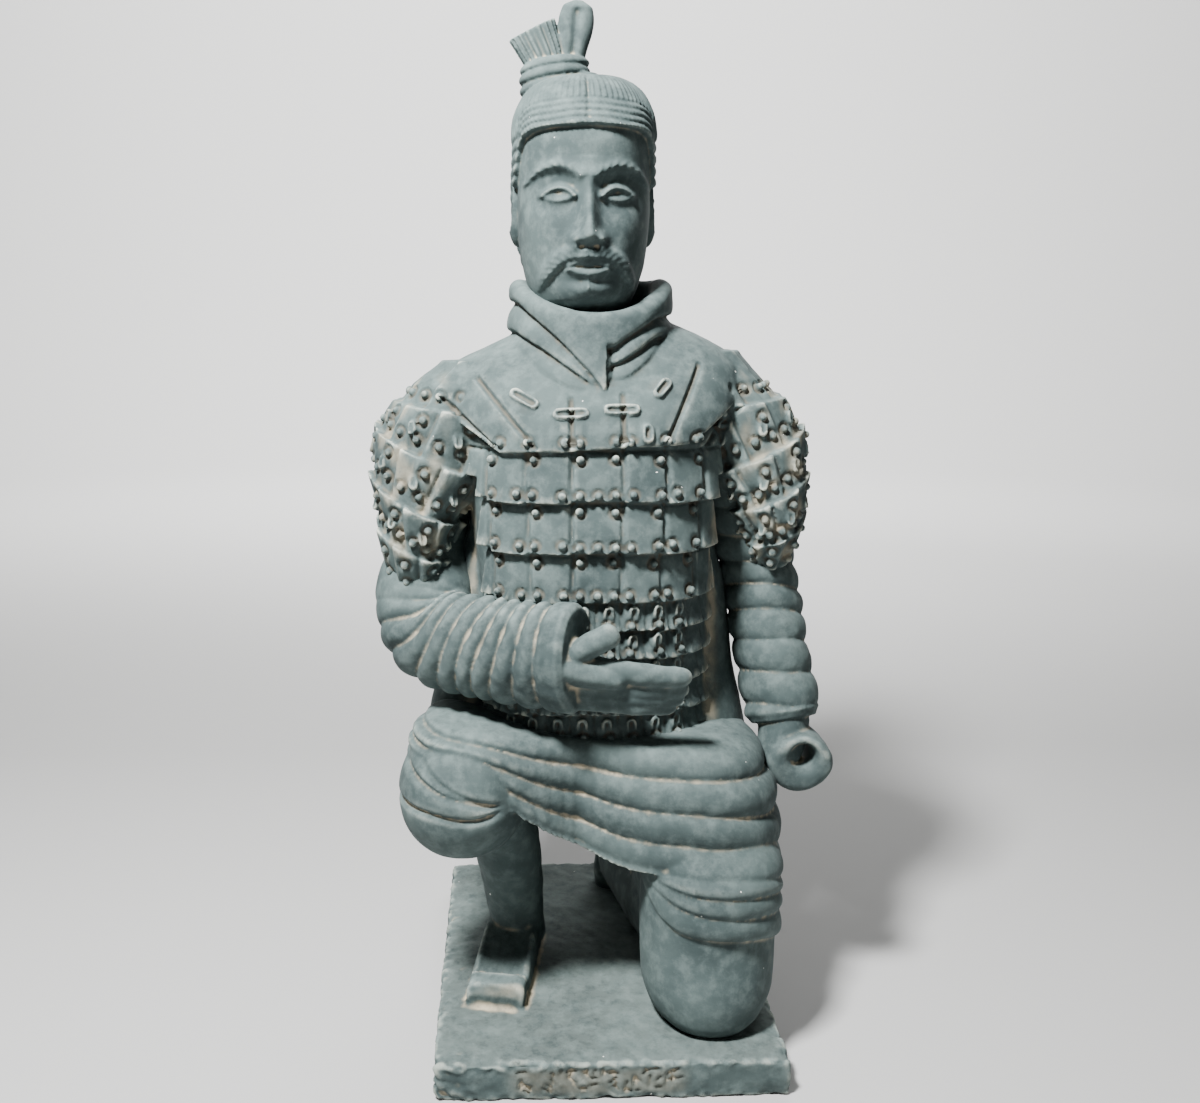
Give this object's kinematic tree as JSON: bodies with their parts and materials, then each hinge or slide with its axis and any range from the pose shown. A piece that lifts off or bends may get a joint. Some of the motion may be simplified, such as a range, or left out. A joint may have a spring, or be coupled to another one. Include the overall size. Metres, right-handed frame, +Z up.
{
  "type": "terracotta warrior statue",
  "caption": "Kneeling warrior figure in plate armour, cast in one piece with its low square slab; stands as an ornament",
  "frame": {"origin": "middle of the slab's underside, on the surface it stands on", "axes": "+Z up; the figure faces -Y; +X is the figure's own left"},
  "size_m": [0.1373, 0.12, 0.3],
  "materials": {
    "clay": "matte"
  },
  "bodies": {
    "root": {"kneeling_warrior": "clay"}
  },
  "joints": []
}
